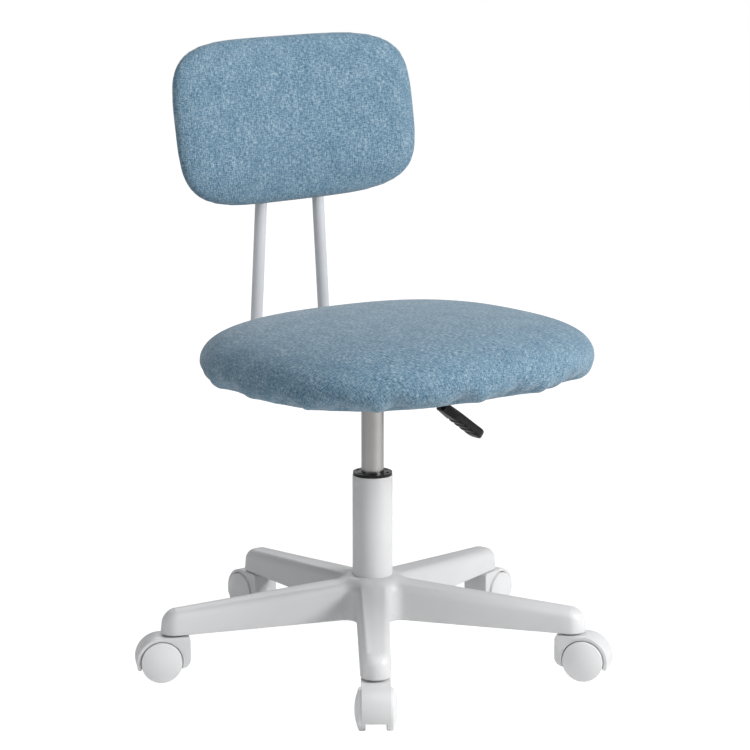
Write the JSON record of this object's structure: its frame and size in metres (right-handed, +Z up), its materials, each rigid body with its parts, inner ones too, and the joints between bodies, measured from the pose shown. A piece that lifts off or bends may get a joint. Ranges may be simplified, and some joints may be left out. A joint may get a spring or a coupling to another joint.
{
  "type": "swivel office chair",
  "caption": "Armless swivel chair with padded seat and low backrest, gas lift, five-arm base and hooded twin-wheel casters.",
  "frame": {"origin": "on the floor, under the column's axis", "axes": "+Z up along the column, the front of the seat towards -Y, +X towards the seated user's left"},
  "size_m": [0.5879, 0.5596, 0.7708],
  "materials": {
    "white_nylon": "fine matte moulded",
    "white_paint": "satin powder coat",
    "black_plastic": "matte moulded",
    "grey_plastic": "matte moulded",
    "rubber": "matte",
    "bare_steel": "turned and polished",
    "black_steel": "black powder coat",
    "plywood": "raw",
    "foam": "open-cell foam",
    "denim_cloth": "woven melange",
    "dust_cloth": "non-woven"
  },
  "bodies": {
    "base": {"star_base": "white_nylon", "stem_sleeves": "grey_plastic", "column_tube": "white_paint", "guide_bushing": "black_plastic", "thrust_washer_lower": "bare_steel"},
    "rod": {"thrust_washer_upper": "bare_steel", "bearing_balls": "bare_steel", "bump_stop": "rubber", "piston_rod": "bare_steel", "piston": "black_plastic", "retaining_clip": "bare_steel"},
    "seat": {"gas_cylinder": "bare_steel", "cylinder_seal": "black_plastic", "mechanism_plate": "black_steel", "lever_grommet": "black_plastic", "plate_bolts": "bare_steel", "plate_nuts": "bare_steel", "seat_board": "plywood", "seat_foam": "foam", "seat_cover": "denim_cloth", "dust_cover": "dust_cloth", "back_tube_left": "white_paint", "back_tube_right": "white_paint", "tube_plate": "black_steel", "tube_plate_bolts": "bare_steel", "tube_plugs": "black_plastic", "back_board": "plywood", "back_foam": "foam", "back_cover": "denim_cloth", "back_screws": "bare_steel"},
    "button": {"valve_button": "bare_steel"},
    "lever": {"lever_rod": "black_steel", "lever_paddle": "black_plastic"},
    "caster_1": {"caster_hood_1": "white_nylon", "caster_stem_1": "bare_steel", "caster_axle_1": "bare_steel"},
    "wheel_1_left": {"wheel_1_left": "white_nylon"},
    "wheel_1_right": {"wheel_1_right": "white_nylon"},
    "caster_2": {"caster_hood_2": "white_nylon", "caster_stem_2": "bare_steel", "caster_axle_2": "bare_steel"},
    "wheel_2_left": {"wheel_2_left": "white_nylon"},
    "wheel_2_right": {"wheel_2_right": "white_nylon"},
    "caster_3": {"caster_hood_3": "white_nylon", "caster_stem_3": "bare_steel", "caster_axle_3": "bare_steel"},
    "wheel_3_left": {"wheel_3_left": "white_nylon"},
    "wheel_3_right": {"wheel_3_right": "white_nylon"},
    "caster_4": {"caster_hood_4": "white_nylon", "caster_stem_4": "bare_steel", "caster_axle_4": "bare_steel"},
    "wheel_4_left": {"wheel_4_left": "white_nylon"},
    "wheel_4_right": {"wheel_4_right": "white_nylon"},
    "caster_5": {"caster_hood_5": "white_nylon", "caster_stem_5": "bare_steel", "caster_axle_5": "bare_steel"},
    "wheel_5_left": {"wheel_5_left": "white_nylon"},
    "wheel_5_right": {"wheel_5_right": "white_nylon"}
  },
  "joints": [
    {"name": "seat_swivel", "type": "hinge", "parent": "base", "child": "rod", "pos_m": [0, 0, 0.06], "axis": [0, 0, 1], "continuous": true},
    {"name": "seat_height", "type": "slide", "parent": "rod", "child": "seat", "axis": [0, 0, 1], "range_m": [-0.078, 0]},
    {"name": "lever_tip", "type": "hinge", "parent": "seat", "child": "lever", "pos_m": [0.04075, 0, 0.3538], "axis": [0, -1, 0], "range_deg": [0, 3.4], "stiffness_Nm_per_rad": 0.6, "springref_deg": -5.73},
    {"name": "valve_press", "type": "slide", "parent": "seat", "child": "button", "axis": [0, 0, 1], "range_m": [-0.0025, 0]},
    {"name": "caster_1_swivel", "type": "hinge", "parent": "base", "child": "caster_1", "pos_m": [0, 0.255, 0.06], "axis": [0, 0, 1], "continuous": true},
    {"name": "wheel_1_left_roll", "type": "hinge", "parent": "caster_1", "child": "wheel_1_left", "pos_m": [0, 0.2735, 0.025], "axis": [1, 0, 0], "continuous": true},
    {"name": "wheel_1_right_roll", "type": "hinge", "parent": "caster_1", "child": "wheel_1_right", "pos_m": [0, 0.2735, 0.025], "axis": [1, 0, 0], "continuous": true},
    {"name": "caster_2_swivel", "type": "hinge", "parent": "base", "child": "caster_2", "pos_m": [-0.24252, 0.0788, 0.06], "axis": [0, 0, 1], "continuous": true},
    {"name": "wheel_2_left_roll", "type": "hinge", "parent": "caster_2", "child": "wheel_2_left", "pos_m": [-0.259, 0.0872, 0.025], "axis": [0.454, 0.891, 0], "continuous": true},
    {"name": "wheel_2_right_roll", "type": "hinge", "parent": "caster_2", "child": "wheel_2_right", "pos_m": [-0.259, 0.0872, 0.025], "axis": [0.454, 0.891, 0], "continuous": true},
    {"name": "caster_3_swivel", "type": "hinge", "parent": "base", "child": "caster_3", "pos_m": [-0.14988, -0.2063, 0.06], "axis": [0, 0, 1], "continuous": true},
    {"name": "wheel_3_left_roll", "type": "hinge", "parent": "caster_3", "child": "wheel_3_left", "pos_m": [-0.16076, -0.22127, 0.025], "axis": [-0.809, 0.5878, 0], "continuous": true},
    {"name": "wheel_3_right_roll", "type": "hinge", "parent": "caster_3", "child": "wheel_3_right", "pos_m": [-0.16076, -0.22127, 0.025], "axis": [-0.809, 0.5878, 0], "continuous": true},
    {"name": "caster_4_swivel", "type": "hinge", "parent": "base", "child": "caster_4", "pos_m": [0.14988, -0.2063, 0.06], "axis": [0, 0, 1], "continuous": true},
    {"name": "wheel_4_left_roll", "type": "hinge", "parent": "caster_4", "child": "wheel_4_left", "pos_m": [0.16076, -0.22127, 0.025], "axis": [-0.809, -0.5878, 0], "continuous": true},
    {"name": "wheel_4_right_roll", "type": "hinge", "parent": "caster_4", "child": "wheel_4_right", "pos_m": [0.16076, -0.22127, 0.025], "axis": [-0.809, -0.5878, 0], "continuous": true},
    {"name": "caster_5_swivel", "type": "hinge", "parent": "base", "child": "caster_5", "pos_m": [0.24252, 0.0788, 0.06], "axis": [0, 0, 1], "continuous": true},
    {"name": "wheel_5_left_roll", "type": "hinge", "parent": "caster_5", "child": "wheel_5_left", "pos_m": [0.26011, 0.08452, 0.025], "axis": [0.309, -0.9511, 0], "continuous": true},
    {"name": "wheel_5_right_roll", "type": "hinge", "parent": "caster_5", "child": "wheel_5_right", "pos_m": [0.26011, 0.08452, 0.025], "axis": [0.309, -0.9511, 0], "continuous": true}
  ],
  "couplings": [
    {"joint": "valve_press", "follows": "lever_tip", "m_per_rad": -0.04075}
  ]
}
